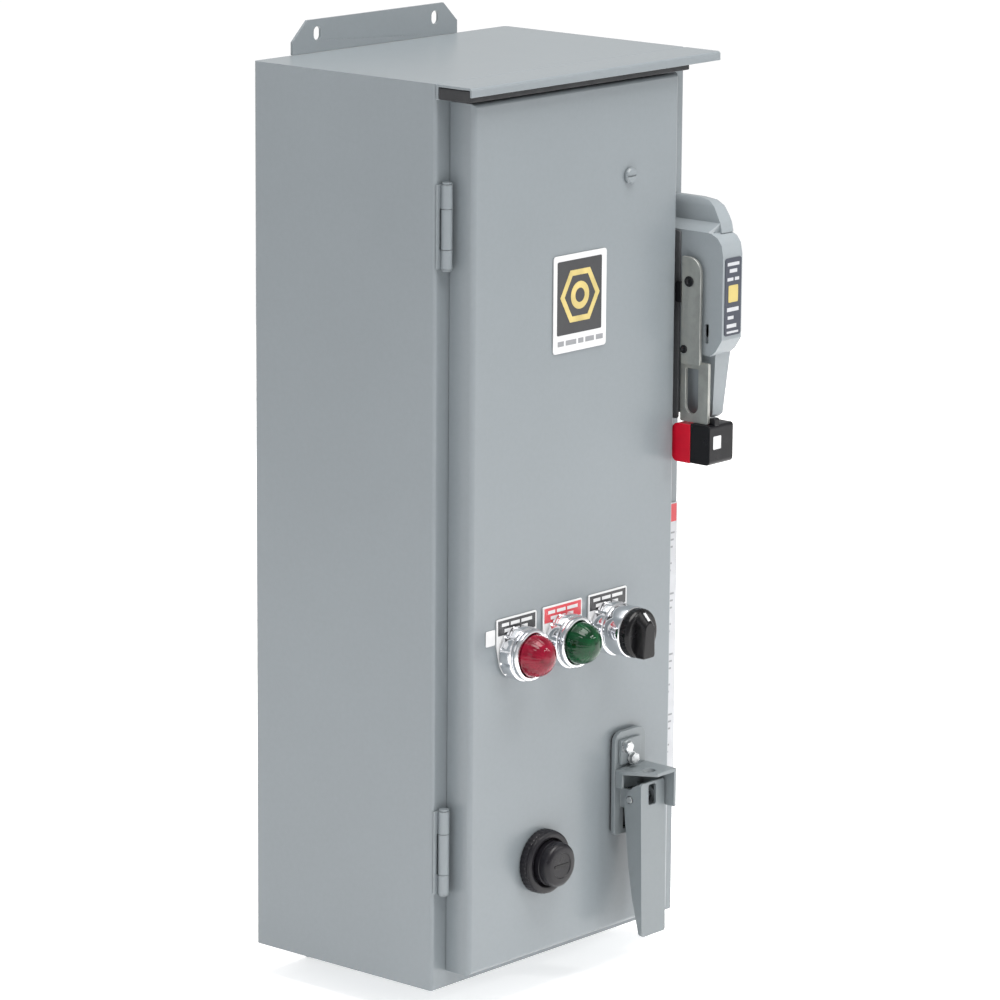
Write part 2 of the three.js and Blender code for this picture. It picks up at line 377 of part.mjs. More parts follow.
// ================================================================ door latch
{
  const { pinY, pinZ } = LATCH;
  const slotCut = (y0, y1) => box(44.5, 55.5, y0, y1, -248, -216.5);
  let base = cut(prism('y', roundRect(33.5, 70, -252, -170.8, [4, 4, 8, 8], 4), -209.5, -205.8), slotCut(-210, -205));
  for (const [a, b] of [[40.2, 43.2], [59.8, 62.8]]) {
    base = base.add(cut(prism('x', [[-209, -230], [-221, -230], [-226.5, -226], [-227, -222], [-226, -217.5], [-221, -214.5], [-209, -214.5]], a, b),
      rod('x', pinY, pinZ, 3.1, a - 1, b + 1, 16)));
  }
  addTo(door, 'latch_base_plate', base, PAINT, 0.45);
  addTo(door, 'latch_pivot_pin', rod('x', pinY, pinZ, 2.75, 36.7, 66.6, 16), ZINC, 0.35, 0.8);
  // Padlock hasp: vertical leg under two bolts, top plate with a padlock hole, side flange
  const hasp = join(
    cut(box(37.5, 61, -212.3, -209.8, -201.8, -177), box(37, 50.5, -213, -209, -198.6, -195.8), rod('y', 43.5, -183.5, 3, -213, -209, 14), rod('y', 49.5, -191.8, 3, -213, -209, 14)),
    prism('z', [[33.8, -209.8], [33.8, -217.5], [47, -240.5], [69.5, -240.5], [69.5, -209.8]], -202.2, -199.4, [circle(50, -229.3, 5.2, 20)]),
    box(67, 69.5, -240.5, -209.8, -229.5, -200), box(33.8, 36.2, -216.5, -209.8, -213, -200));
  addTo(door, 'latch_hasp', hasp, PAINT, 0.45);
  // Handle: tapered channel on the pivot pin, with the latch hook inside it
  const flank = [[-231.4, -208.5], [-230.6, -208], [-229.5, -208.6], [-224, -211.5], [-218.5, -217], [-215.6, -224], [-217, -241], [-220.6, -274], [-224.4, -298], [-231.4, -327], [-233.9, -330]];
  const channel = join(
    cut(prism('x', [[-232, -208], [-230, -208], [-232.6, -328.5], [-234.6, -328.5]], 37.5, 65.8).intersect(prism('y', roundRect(37.5, 65.8, -328.5, -208, [2.5, 2, 2.5, 2.5], 4), -236, -229)),
      prism('y', roundRect(46.5, 55.5, -226, -209.8, 1.5, 2), -234, -229)),
    ...[[37.5, 39.6], [63.7, 65.8]].map(([a, b]) => cut(
      prism('x', flank, a, b).intersect(prism('y', roundRect(37.5, 65.8, -328.5, -208, [2.5, 2, 2.5, 2.5], 4), -240, -200)),
      rod('x', pinY, pinZ, 3.2, a - 1, b + 1, 16))));
  addTo(model, 'latch_handle', channel, PAINT, 0.45);
  addTo(model, 'latch_hook', cut(prism('x', [[-230.5, -250], [-230.2, -236], [-226, -226], [-226, -220], [-223, -217.8], [-177, -218], [-177, -233], [-183.6, -233], [-183.6, -226.4], [-216, -226.4], [-222, -240], [-224, -250]], 46.5, 53.5),
    rod('x', pinY, pinZ, 3.2, 46, 54, 16)), ZINC, 0.4, 0.8);
}

export default model;
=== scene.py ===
"""Looks of the combination motor starter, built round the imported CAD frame. Lengths below are millimetres in the CAD frame."""
import math

import bmesh
import bpy
from mathutils import Matrix, Vector
from mathutils.geometry import tessellate_polygon


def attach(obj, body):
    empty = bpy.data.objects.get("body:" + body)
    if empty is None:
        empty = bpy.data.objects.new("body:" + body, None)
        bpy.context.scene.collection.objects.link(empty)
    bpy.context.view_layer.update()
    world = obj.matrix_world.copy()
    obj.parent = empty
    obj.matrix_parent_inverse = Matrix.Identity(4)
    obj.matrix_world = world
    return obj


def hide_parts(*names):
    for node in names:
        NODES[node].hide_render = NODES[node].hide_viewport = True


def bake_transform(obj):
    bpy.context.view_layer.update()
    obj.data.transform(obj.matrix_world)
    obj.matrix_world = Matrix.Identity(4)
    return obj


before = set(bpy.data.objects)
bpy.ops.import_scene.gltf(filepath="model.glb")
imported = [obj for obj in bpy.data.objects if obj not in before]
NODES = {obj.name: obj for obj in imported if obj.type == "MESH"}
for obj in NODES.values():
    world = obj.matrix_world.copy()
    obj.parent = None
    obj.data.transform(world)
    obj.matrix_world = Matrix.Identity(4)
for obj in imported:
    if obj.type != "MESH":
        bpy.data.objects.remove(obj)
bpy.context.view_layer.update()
MM = 0.001


# ------------------------------------------------------------------ materials
def lin(rgb):
    out = []
    for c in rgb[:3]:
        c = c / 255.0
        out.append(c / 12.92 if c <= 0.04045 else ((c + 0.055) / 1.055) ** 2.4)
    return (*out, 1.0)


def shade(rgb, k):
    return tuple(min(255.0, c * k) for c in rgb)


class Mat:
    """A Principled material with small helpers for procedural detail in object coordinates."""

    def __init__(self, name, metallic=0.0, ior=1.5):
        self.m = bpy.data.materials.new(name)
        self.m.use_nodes = True
        self.nt = self.m.node_tree
        self.nt.nodes.clear()
        self.out = self.nt.nodes.new("ShaderNodeOutputMaterial")
        self.b = self.nt.nodes.new("ShaderNodeBsdfPrincipled")
        self.link(self.b.outputs[0], self.out.inputs[0])
        self.b.inputs["Metallic"].default_value = metallic
        self.b.inputs["IOR"].default_value = ior
        self.tc = self.nt.nodes.new("ShaderNodeTexCoord").outputs["Object"]

    def link(self, a, b):
        self.nt.links.new(a, b)

    def vec(self, stretch=(1, 1, 1), turn=(0, 0, 0)):
        mp = self.nt.nodes.new("ShaderNodeMapping")
        mp.inputs["Scale"].default_value = stretch
        mp.inputs["Rotation"].default_value = turn
        self.link(self.tc, mp.inputs["Vector"])
        return mp.outputs[0]

    def noise(self, scale, detail=3.0, rough=0.5, stretch=(1, 1, 1)):
        n = self.nt.nodes.new("ShaderNodeTexNoise")
        n.inputs["Scale"].default_value = scale
        n.inputs["Detail"].default_value = detail
        n.inputs["Roughness"].default_value = rough
        self.link(self.vec(stretch), n.inputs["Vector"])
        return n.outputs["Fac"]

    def voronoi(self, scale, stretch=(1, 1, 1)):
        n = self.nt.nodes.new("ShaderNodeTexVoronoi")
        n.inputs["Scale"].default_value = scale
        self.link(self.vec(stretch), n.inputs["Vector"])
        return n.outputs["Distance"]

    def wave(self, scale, direction="Z", distortion=0.0):
        n = self.nt.nodes.new("ShaderNodeTexWave")
        n.wave_type = "BANDS"
        n.bands_direction = direction
        n.inputs["Scale"].default_value = scale
        n.inputs["Distortion"].default_value = distortion
        self.link(self.tc, n.inputs["Vector"])
        return n.outputs["Fac"]

    def ramp(self, fac, stops):
        r = self.nt.nodes.new("ShaderNodeValToRGB")
        el = r.color_ramp.elements
        while len(el) < len(stops):
            el.new(0.5)
        for e, (p, c) in zip(el, stops):
            e.position = p
            e.color = lin(c)
        self.link(fac, r.inputs[0])
        return r.outputs[0]

    def remap(self, fac, lo, hi, a=0.3, b=0.7):
        r = self.nt.nodes.new("ShaderNodeMapRange")
        r.inputs["From Min"].default_value = a
        r.inputs["From Max"].default_value = b
        r.inputs["To Min"].default_value = lo
        r.inputs["To Max"].default_value = hi
        self.link(fac, r.inputs["Value"])
        return r.outputs[0]

    def mix(self, fac, a, b, mode="MIX"):
        n = self.nt.nodes.new("ShaderNodeMix")
        n.data_type = "RGBA"
        n.blend_type = mode
        if isinstance(fac, float):
            n.inputs["Factor"].default_value = fac
        else:
            self.link(fac, n.inputs["Factor"])
        for socket, value in ((n.inputs[6], a), (n.inputs[7], b)):
            if isinstance(value, tuple):
                socket.default_value = value
            else:
                self.link(value, socket)
        return n.outputs[2]

    def add(self, a, b, op="ADD", clamp=False):
        n = self.nt.nodes.new("ShaderNodeMath")
        n.operation = op
        n.use_clamp = clamp
        for i, value in enumerate((a, b)):
            if isinstance(value, (int, float)):
                n.inputs[i].default_value = value
            else:
                self.link(value, n.inputs[i])
        return n.outputs[0]

    def color(self, socket):
        self.link(socket, self.b.inputs["Base Color"])
        return self

    def rough(self, fac, lo, hi):
        self.link(self.remap(fac, lo, hi), self.b.inputs["Roughness"])
        return self

    def bump(self, *pairs):
        """Each pair is (fac, depth in mm)."""
        normal = None
        for fac, depth in pairs:
            n = self.nt.nodes.new("ShaderNodeBump")
            n.inputs["Strength"].default_value = 1.0
            n.inputs["Distance"].default_value = depth * MM
            self.link(fac, n.inputs["Height"])
            if normal is not None:
                self.link(normal, n.inputs["Normal"])
            normal = n.outputs[0]
        self.link(normal, self.b.inputs["Normal"])
        return self

    def set(self, **kw):
        for k, v in kw.items():
            self.b.inputs[k.replace("_", " ")].default_value = v
        return self


def enamel(name, rgb, peel=0.010, rough=(0.26, 0.36), blotch=0.03):
    """Baked enamel on sheet steel: faint tone drift and fine orange peel."""
    m = Mat(name)
    broad = m.noise(4.5, 4.0, 0.55)
    fine = m.noise(260.0, 3.0, 0.6)
    tone = m.ramp(broad, [(0.1, shade(rgb, 1 - 1.5 * blotch)), (0.9, shade(rgb, 1 + 1.5 * blotch))])
    tint = m.ramp(fine, [(0.3, shade(rgb, 0.975)), (0.7, shade(rgb, 1.02))])
    m.color(m.mix(0.35, tone, tint))
    m.link(m.remap(m.noise(9.0, 4.0), rough[0], rough[1], 0.0, 1.0), m.b.inputs["Roughness"])
    m.bump((m.noise(420.0, 2.0, 0.5), peel), (m.noise(60.0, 2.0), peel * 0.6))
    m.set(Coat_Weight=0.18, Coat_Roughness=0.2, Specular_IOR_Level=0.42)
    return m.m


def plated(name, rgb, rough=(0.22, 0.4), tint=None, lines=None, depth=0.01, stretch=(1, 1, 1)):
    """Plated or bare metal: cloudy tone, drawn lines and fine grain."""
    m = Mat(name, metallic=1.0)
    cloud = m.noise(55.0, 5.0, 0.6)
    m.color(m.ramp(cloud, [(0.25, shade(rgb, 0.86)), (0.55, rgb), (0.8, tint or shade(rgb, 1.08))]))
    grain = m.noise(220.0, 3.0, 0.6, lines or stretch)
    m.rough(grain, *rough)
    m.bump((grain, depth), (m.noise(900.0, 2.0), depth * 0.5))
    return m.m


def plastic(name, rgb, rough=(0.32, 0.5), grain=700.0, depth=0.02, coat=0.0, drift=0.10, spec=0.5):
    """Moulded plastic: slight flow marks and a fine spark-eroded texture."""
    m = Mat(name, ior=1.49)
    flow = m.noise(24.0, 4.0, 0.55, (1, 1, 2.4))
    m.color(m.ramp(flow, [(0.2, shade(rgb, 1 - drift)), (0.8, shade(rgb, 1 + drift))]))
    m.rough(m.noise(140.0, 4.0), *rough)
    m.bump((m.noise(grain, 2.0, 0.5), depth), (m.noise(30.0, 2.0), depth * 1.5))
    m.set(Coat_Weight=coat, Coat_Roughness=0.12, Specular_IOR_Level=spec)
    return m.m


def lens_mat(name, rgb, deep):
    m = Mat(name, ior=1.49)
    streak = m.noise(150.0, 3.0, 0.5, (1, 0.25, 1))
    m.color(m.ramp(streak, [(0.25, deep), (0.75, rgb)]))
    m.rough(m.noise(200.0, 2.0), 0.05, 0.12)
    m.bump((m.noise(120.0, 2.0, 0.4, (1, 0.3, 1)), 0.12))
    m.set(Transmission_Weight=0.1, Coat_Weight=0.08, Coat_Roughness=0.03, Specular_IOR_Level=0.26)
    return m.m


def chrome_mat(name):
    m = Mat(name, metallic=1.0)
    m.color(m.ramp(m.noise(60.0, 3.0), [(0.3, (214, 216, 220)), (0.7, (236, 237, 239))]))
    m.rough(m.noise(180.0, 3.0), 0.05, 0.13)
    m.bump((m.noise(90.0, 2.0), 0.03))
    return m.m


def paper(name, rgb, rough=(0.35, 0.5), drift=0.02):
    """Printed film or plate: a thin satin layer."""
    m = Mat(name)
    m.color(m.ramp(m.noise(90.0, 3.0), [(0.3, shade(rgb, 1 - drift)), (0.7, shade(rgb, 1 + drift))]))
    m.rough(m.noise(60.0, 2.0), *rough)
    m.bump((m.noise(600.0, 2.0), 0.006))
    m.set(Coat_Weight=0.25, Coat_Roughness=0.15)
    return m.m


GRAY = (118, 125, 129)
M = {
    "enamel": enamel("gray_enamel", GRAY),
    "enamel_cast": enamel("gray_enamel_cast", (128, 135, 139), peel=0.03, rough=(0.34, 0.48), blotch=0.04),
    "enamel_latch": enamel("gray_enamel_latch", (112, 119, 122), peel=0.012, rough=(0.28, 0.4)),
    "white_enamel": enamel("panel_enamel", (214, 215, 211), peel=0.012, rough=(0.4, 0.55), blotch=0.02),
    "zinc": plated("bright_zinc", (196, 199, 200), tint=(212, 208, 190), rough=(0.22, 0.38)),
    "steel": plated("lever_steel", (172, 174, 170), rough=(0.42, 0.6), tint=(182, 181, 172), lines=(1, 1, 0.12), depth=0.03),
    "spring": plated("spring_steel", (150, 152, 155), rough=(0.2, 0.35)),
    "dark_steel": plated("blued_steel", (52, 53, 55), rough=(0.34, 0.5), tint=(66, 62, 58)),
    "brass": plated("brass", (190, 160, 92), rough=(0.22, 0.38), tint=(206, 176, 108)),
    "copper": plated("tinned_copper", (176, 150, 128), rough=(0.25, 0.4), tint=(200, 196, 190)),
    "lamination": plated("core_lamination", (92, 95, 98), rough=(0.45, 0.62), lines=(1, 14.0, 1), depth=0.08),
    "winding": plastic("winding_varnish", (128, 70, 34), rough=(0.2, 0.4), grain=300.0, depth=0.03, coat=0.5, drift=0.2),
    "black": plastic("moulded_black", (26, 27, 29), rough=(0.36, 0.52), spec=0.35),
    "phenolic": plastic("phenolic_black", (20, 19, 23), rough=(0.26, 0.42), grain=450.0, depth=0.03, drift=0.18, spec=0.28),
    "gloss_black": plastic("gloss_black", (12, 12, 14), rough=(0.18, 0.3), grain=900.0, depth=0.01, spec=0.25),
    "grip_black": plastic("grip_black", (14, 14, 17), rough=(0.26, 0.42), grain=520.0, depth=0.03, spec=0.28),
    "red": plastic("grip_red", (176, 14, 38), rough=(0.28, 0.44), grain=520.0, depth=0.02, spec=0.25),
    "coil_red": plastic("coil_red", (122, 40, 30), rough=(0.36, 0.55), drift=0.15),
    "cream": plastic("terminal_cream", (214, 208, 190), rough=(0.38, 0.55), drift=0.04),
    "wire": plastic("wire_black", (28, 28, 30), rough=(0.3, 0.45), grain=300.0, depth=0.02),
    # painted shade: a dark grey sheet standing in for the shadowed gap beside the operator
    "painted_gap_shade": plastic("dark_gap_sheet", (76, 78, 80), rough=(0.6, 0.8), grain=300.0, depth=0.04, spec=0.3),
    "gasket": plastic("gasket_foam", (40, 41, 43), rough=(0.75, 0.9), grain=380.0, depth=0.12),
    "chrome": chrome_mat("chrome_ring"),
    "lens_red": lens_mat("lens_red", (142, 8, 42), (88, 2, 22)),
    "lens_green": lens_mat("lens_green", (4, 74, 38), (0, 36, 16)),
    "print_black": paper("print_black", (34, 35, 38)),
    "print_white": paper("print_white", (200, 201, 202)),
    "print_film": paper("print_film", (178, 180, 184)),
    "print_gray": paper("print_gray", (128, 130, 133)),
    "print_pale": paper("print_pale", (176, 180, 186)),
    "print_navy": paper("print_navy", (38, 44, 58)),
    "print_red": paper("print_red", (186, 48, 58)),
    "print_gold": paper("print_gold", (184, 166, 100), rough=(0.28, 0.4), drift=0.06),
    "print_yellow": paper("print_yellow", (184, 166, 96)),
    "aluminium": plated("aluminium_foil_plate", (196, 198, 200), rough=(0.28, 0.42), lines=(0.1, 1, 1)),
}


# ------------------------------------------------------------------ mesh building
def circle(u, v, r, n=32, start=0.0):
    return [(u + r * math.cos(2 * math.pi * (i + start) / n), v + r * math.sin(2 * math.pi * (i + start) / n)) for i in range(n)]


def rrect(u0, u1, v0, v1, radii, seg=6):
    r = list(radii) if isinstance(radii, (list, tuple)) else [radii] * 4
    pts = []
    for i, (u, v, a) in enumerate([(u0, v0, 180), (u1, v0, 270), (u1, v1, 0), (u0, v1, 90)]):
        q = r[i]
        if q <= 0:
            pts.append((u, v))
            continue
        cu, cv = u + (q if u == u0 else -q), v + (q if v == v0 else -q)
        for k in range(seg + 1):
            t = math.radians(a + 90.0 * k / seg)
            pts.append((cu + q * math.cos(t), cv + q * math.sin(t)))
    return pts


def at(axis, u, v, w):
    return (w, u, v) if axis == "x" else (u, w, v) if axis == "y" else (u, v, w)


class Build:
    """Several closed shapes gathered in one mesh."""

    def __init__(self):
        self.verts, self.faces = [], []

    def _put(self, verts, faces):
        k = len(self.verts)
        self.verts += [Vector(v) for v in verts]
        self.faces += [tuple(i + k for i in f) for f in faces]
        return self

    def prism(self, axis, outline, a0, a1, holes=()):
        """Outlines are (y,z) for x, (x,z) for y and (x,y) for z."""
        loops = [list(outline)] + [list(h) for h in holes]
        flat = [p for lp in loops for p in lp]
        n = len(flat)
        verts = [at(axis, u, v, a0) for u, v in flat] + [at(axis, u, v, a1) for u, v in flat]
        faces = []
        if holes:
            for t in tessellate_polygon([[Vector((u, v, 0)) for u, v in lp] for lp in loops]):
                faces.append(tuple(t))
                faces.append(tuple(i + n for i in reversed(t)))
        else:
            faces += [tuple(range(n)), tuple(range(2 * n - 1, n - 1, -1))]
        k = 0
        for lp in loops:
            m = len(lp)
            for i in range(m):
                a, b = k + i, k + (i + 1) % m
                faces.append((a, b, b + n, a + n))
            k += m
        return self._put(verts, faces)

    def box(self, x0, x1, y0, y1, z0, z1):
        return self.prism("z", [(x0, y0), (x1, y0), (x1, y1), (x0, y1)], z0, z1)

    def lathe(self, profile, cu, cv, n=96, axis="y", loop=False, wobble=None):
        """Turns (r, along) about an axis through (cu, cv). wobble(i, angle, r, along) gives a changed radius."""
        rings, verts = [], []
        for i, (r, w) in enumerate(profile):
            if r < 1e-6:
                rings.append([len(verts)])
                verts.append(at(axis, cu, cv, w))
                continue
            ring = []
            for j in range(n):
                t = 2 * math.pi * j / n
                q = wobble(i, t, r, w) if wobble else r
                ring.append(len(verts))
                verts.append(at(axis, cu + q * math.cos(t), cv + q * math.sin(t), w))
            rings.append(ring)
        faces = []
        pairs = list(zip(rings, rings[1:])) + ([(rings[-1], rings[0])] if loop else [])
        for a, b in pairs:
            if len(a) == 1 and len(b) == 1:
                continue
            for j in range(n):
                k = (j + 1) % n
                if len(a) == 1:
                    faces.append((a[0], b[j], b[k]))
                elif len(b) == 1:
                    faces.append((a[j], a[k], b[0]))
                else:
                    faces.append((a[j], a[k], b[k], b[j]))
        return self._put(verts, faces)

    def tube(self, path, r, n=16, steps=6, flat=1.0):
        """A round section swept along a smooth line through the points."""
        pts = [Vector(p) for p in path]
        line = []
        for i in range(len(pts) - 1):
            p0, p1, p2, p3 = pts[max(i - 1, 0)], pts[i], pts[i + 1], pts[min(i + 2, len(pts) - 1)]
            for s in range(steps):
                t = s / steps
                line.append(0.5 * ((2 * p1) + (p2 - p0) * t + (2 * p0 - 5 * p1 + 4 * p2 - p3) * t * t + (3 * p1 - p0 - 3 * p2 + p3) * t ** 3))
        line.append(pts[-1])
        d = [(line[min(i + 1, len(line) - 1)] - line[max(i - 1, 0)]).normalized() for i in range(len(line))]
        side = d[0].orthogonal().normalized()
        verts, faces = [], []
        for i, p in enumerate(line):
            side = (side - d[i] * side.dot(d[i])).normalized()
            up = d[i].cross(side)
            for j in range(n):
                t = 2 * math.pi * j / n
                verts.append(p + side * (r * math.cos(t)) + up * (r * flat * math.sin(t)))
        for i in range(len(line) - 1):
            for j in range(n):
                k = (j + 1) % n
                faces.append((i * n + j, i * n + k, (i + 1) * n + k, (i + 1) * n + j))
        faces += [tuple(range(n)), tuple(range((len(line) - 1) * n, len(line) * n))]
        return self._put(verts, faces)

    def hull(self, pts):
        bm = bmesh.new()
        for p in pts:
            bm.verts.new(p)
        res = bmesh.ops.convex_hull(bm, input=bm.verts)
        junk = {g for k in ("geom_interior", "geom_unused") for g in res[k] if isinstance(g, bmesh.types.BMVert)}
        bmesh.ops.delete(bm, geom=list(junk), context="VERTS")
        bmesh.ops.dissolve_limit(bm, angle_limit=math.radians(1.0), verts=bm.verts, edges=bm.edges)
        bm.verts.index_update()
        self._put([v.co.copy() for v in bm.verts], [tuple(v.index for v in f.verts) for f in bm.faces])
        bm.free()
        return self

    def slotted(self, cu, cv, w, out, r=3.2, h=2.2, axis="y", turn=0.3, slot=0.9):
        """A slotted pan head standing on plane w, its face towards out (+1 or -1)."""
        self.lathe([(0, w), (r, w), (r, w + out * h * 0.45), (0, w + out * h * 0.45)], cu, cv, 28, axis)
        for s in (0, math.pi):
            pts = []
            a0 = math.asin(min(0.95, slot / 2 / r))
            for k in range(13):
                t = a0 + (math.pi - 2 * a0) * k / 12
                pts.append((r * math.cos(t), r * math.sin(t)))
            q = [(cu + x * math.cos(turn + s) - y * math.sin(turn + s), cv + x * math.sin(turn + s) + y * math.cos(turn + s)) for x, y in pts]
            a, b = sorted((w + out * h * 0.44, w + out * h))
            self.prism(axis, q, a, b)
        return self

    def hexhead(self, cu, cv, w, out, r=5.0, h=3.6, axis="y", turn=0.2, washer=None):
        if washer:
            a, b = sorted((w, w + out * washer[1]))
            self.prism(axis, circle(cu, cv, washer[0], 40), a, b)
            w += out * (washer[1] + 0.02)
        a, b = sorted((w, w + out * h * 0.9))
        hexa = [(cu + r * math.cos(turn + k * math.pi / 3), cv + r * math.sin(turn + k * math.pi / 3)) for k in range(6)]
        self.prism(axis, hexa, a, b)
        self.lathe([(0, w + out * h * 0.85), (r * 0.83, w + out * h * 0.85), (r * 0.83, w + out * h * 0.9), (r * 0.72, w + out * h), (0, w + out * h)], cu, cv, 32, axis)
        return self

    def done(self, name, mat, body, bevel=0.0, seg=2, angle=32, replaces=(), slot=None, subsurf=0, weighted=True, smooth=True):
        me = bpy.data.meshes.new(name)
        me.from_pydata([v * MM for v in self.verts], [], self.faces)
        bm = bmesh.new()
        bm.from_mesh(me)
        bmesh.ops.recalc_face_normals(bm, faces=bm.faces)
        bm.to_mesh(me)
        bm.free()
        o = bpy.data.objects.new(name, me)
        bpy.context.scene.collection.objects.link(o)
        me.materials.append(M[mat])
        for p in me.polygons:
            p.use_smooth = smooth
        if smooth:
            me.set_sharp_from_angle(angle=math.radians(angle))
        if bevel:
            b = o.modifiers.new("edges", "BEVEL")
            b.width = bevel * MM
            b.segments = seg
            b.limit_method = "ANGLE"
            b.angle_limit = math.radians(angle)
            b.use_clamp_overlap = True
            b.harden_normals = False
            for e in me.edges:
                e.use_edge_sharp = False
        if subsurf:
            s = o.modifiers.new("smooth", "SUBSURF")
            s.levels = s.render_levels = subsurf
        if bevel and weighted:
            w = o.modifiers.new("normals", "WEIGHTED_NORMAL")
            w.keep_sharp = False
            w.weight = 60
        if body:
            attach(o, body)
        if replaces:
            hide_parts(*replaces)
        return o


def cad(name, mat, bevel=0.35, seg=2, angle=30):
    """A carried-over CAD node: welded, edges broken, given its finish."""
    o = NODES[name]
    me = o.data
    me.materials.clear()
    me.materials.append(M[mat])
    for a in ("custom_normal",):
        if a in me.attributes:
            me.attributes.remove(me.attributes[a])
    for p in me.polygons:
        p.use_smooth = True
        p.material_index = 0
    w = o.modifiers.new("weld", "WELD")
    w.merge_threshold = 2e-6
    d = o.modifiers.new("flat", "DECIMATE")
    d.decimate_type = "DISSOLVE"
    d.angle_limit = math.radians(0.5)
    d.delimit = {"NORMAL"}
    if bevel:
        b = o.modifiers.new("edges", "BEVEL")
        b.width = bevel * MM
        b.segments = seg
        b.limit_method = "ANGLE"
        b.angle_limit = math.radians(angle)
        b.use_clamp_overlap = True
    n = o.modifiers.new("normals", "WEIGHTED_NORMAL")
    n.keep_sharp = False
    n.weight = 60
    return o


# ------------------------------------------------------------------ carried-over sheet metal and housings
for node, mat, bevel in [
    ("enclosure_box", "enamel", 0.5), ("upper_mounting_flange", "enamel", 0.5), ("lower_mounting_flange", "enamel", 0.5),
    ("drip_hood", "enamel", 0.5), ("upper_hinge_box_leaf", "enamel", 0.3), ("lower_hinge_box_leaf", "enamel", 0.3),
    ("upper_hinge_pin", "enamel", 0.4), ("lower_hinge_pin", "enamel", 0.4), ("latch_keeper", "zinc", 0.3),
    ("mounting_panel", "white_enamel", 0.5), ("breaker_riser", "zinc", 0.4), ("circuit_breaker_case", "black", 0.8),
    ("contactor_base", "phenolic", 0.8), ("contactor_coil", "coil_red", 1.2), ("contactor_arc_cover", "phenolic", 1.0),
    ("overload_relay_case", "phenolic", 1.0), ("transformer_core", "lamination", 0.4), ("transformer_winding", "winding", 1.0),
    ("terminal_block", "cream", 0.4), ("ground_bar", "brass", 0.4), ("power_lead_left", "wire", 0.0),
    ("power_lead_centre", "wire", 0.0), ("power_lead_right", "wire", 0.0), ("yoke_guide", "zinc", 0.3),
    ("operator_housing", "enamel_cast", 1.1),
    ("handle_lever", "steel", 0.45), ("padlock_plate", "steel", 0.45), ("handle_crank", "zinc", 0.4),
    ("breaker_yoke", "zinc", 0.3), ("breaker_toggle", "black", 0.8), ("contactor_armature", "black", 0.6),
    ("overload_plunger", "red", 0.5), ("door_panel", "enamel", 0.4), ("door_gasket", "gasket", 0.8),
    ("upper_hinge_door_leaf", "enamel", 0.3), ("lower_hinge_door_leaf", "enamel", 0.3),
    ("red_pilot_body", "black", 0.6), ("green_pilot_body", "black", 0.6), ("selector_contact_block", "black", 0.6),
    ("latch_base_plate", "enamel_latch", 0.5), ("latch_pivot_pin", "zinc", 0.5), ("latch_hasp", "enamel_latch", 0.4),
    ("latch_handle", "enamel_latch", 0.5), ("latch_hook", "zinc", 0.4), ("defeat_screw", "enamel", 0.3),
]:
    cad(node, mat, bevel)

# ------------------------------------------------------------------ control units in the door
UNIT_Z, UNIT_X = -86.8, (-77.0, -24.5, 28.0)


def ring_nut(name, cx, front=-222.0):
    """Chromed ring nut with spanner notches, then a groove and a smooth bezel that reaches the front."""
    def notch(i, t, r, w):
        if r < 19.9 or w < -215.0 or w > -206.4:
            return r
        s = (t * 12 / (2 * math.pi)) % 1.0
        d = min(abs(s - 0.5) / 0.13, 1.0)
        return r - 0.9 * (1 - d * d) if d < 1 else r
    prof = [(15.7, -205.6), (20.2, -205.6), (20.5, -205.9), (20.5, -207.0), (20.5, -214.6), (20.2, -215.4), (19.3, -215.8), (18.5, -216.2), (18.5, -217.0),
            (19.2, -217.4), (19.5, -218.0), (19.5, front + 1.7), (19.2, front + 0.8), (18.5, front + 0.2), (17.4, front), (16.6, front + 0.3), (16.1, front + 1.0), (15.7, front + 2.0)]
    Build().lathe(prof, cx, UNIT_Z, 192, loop=True, wobble=notch).done(name, "chrome", "door", angle=28, replaces=(name.replace("_chrome", ""),))


def legend(prefix, cx, dark, mat_top):
    """Legend plate: a plate with a printed top band and plain bars in place of words."""
    z = UNIT_Z
    pts = [(cx - 21.5, z + 27.9), (cx + 21.5, z + 27.9), (cx + 22.5, z + 27), (cx + 22.5, z + 8)]
    pts += [(cx + 20 * math.cos(math.radians(-8 - 164 * i / 24)), z + 20 * math.sin(math.radians(-8 - 164 * i / 24))) for i in range(25)]
    pts += [(cx - 22.5, z + 8), (cx - 22.5, z + 27)]
    Build().prism("y", pts, -204.9, -203.8, [circle(cx, z, 15.7, 48)]).done(prefix + "_legend_back", "print_white", "door", 0.2, replaces=(prefix + "_legend_plate",), slot="legend_plate")
    field = [(cx - 21, z + 26.6), (cx + 21, z + 26.6), (cx + 21, z + 15.4), (cx - 21, z + 15.4)]
    Build().prism("y", field, -205.05, -204.85).done(prefix + "_legend_field", mat_top, "door", 0.05, slot="legend_plate")
    bars = Build()
    for x0, x1, z0, z1 in ([(-17, -9, 21.9, 24.4), (-7, 3, 21.9, 24.4), (5, 17, 21.9, 24.4), (-14, -3, 17.4, 19.9), (-1, 12, 17.4, 19.9)]):
        bars.prism("y", [(cx + x0, z + z0), (cx + x1, z + z0), (cx + x1, z + z1), (cx + x0, z + z1)], -205.2, -205.0)
    bars.done(prefix + "_legend_bars", "print_white" if dark else "print_gray", "door", slot="legend_plate")


legend("red_pilot", UNIT_X[0], True, "print_black")
legend("green_pilot", UNIT_X[1], True, "print_red")
legend("selector", UNIT_X[2], True, "print_black")
for label, cx in zip(("red_pilot", "green_pilot", "selector"), UNIT_X):
    ring_nut(label + "_ring_nut_chrome", cx, -231.6 if label == "selector" else -222.0)


